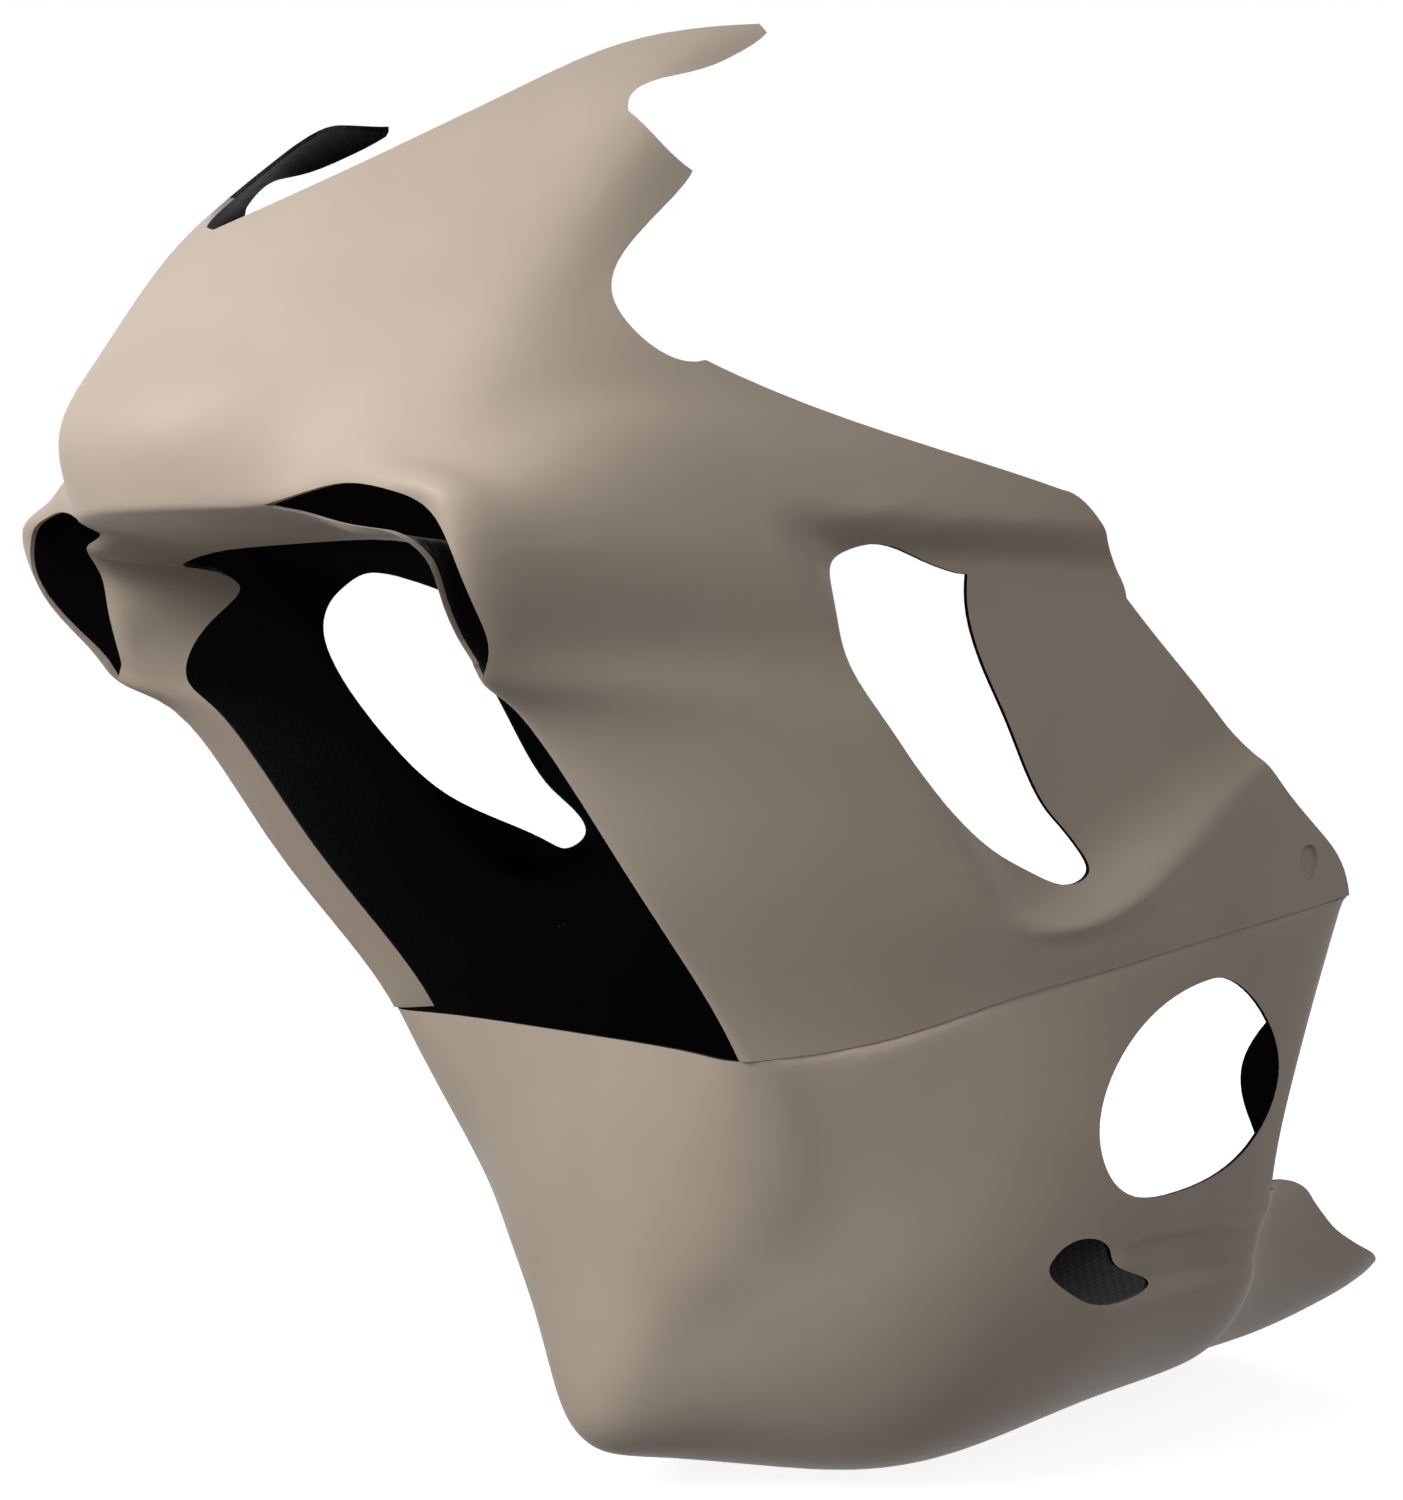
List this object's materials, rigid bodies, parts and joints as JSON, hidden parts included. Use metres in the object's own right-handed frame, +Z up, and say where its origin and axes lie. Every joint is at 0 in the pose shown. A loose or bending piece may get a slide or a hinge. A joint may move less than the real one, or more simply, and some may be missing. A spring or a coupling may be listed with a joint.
{
  "type": "motorcycle fairing",
  "caption": "Unpainted glass-fibre race fairing: an upper moulding with nose, intake scoops and side vents, and a belly pan with a stepped tail.",
  "frame": {"origin": "under the middle of the fairing, at the height of the belly pan's lowest point, on the mid-plane", "axes": "+X to the rider's left, +Y to the rear of the machine, +Z up"},
  "size_m": [0.529, 0.992, 0.8979],
  "materials": {
    "laminate": "satin primer grey outside, black inside"
  },
  "bodies": {
    "root": {"upper_fairing": "laminate", "belly_pan": "laminate"}
  },
  "joints": []
}
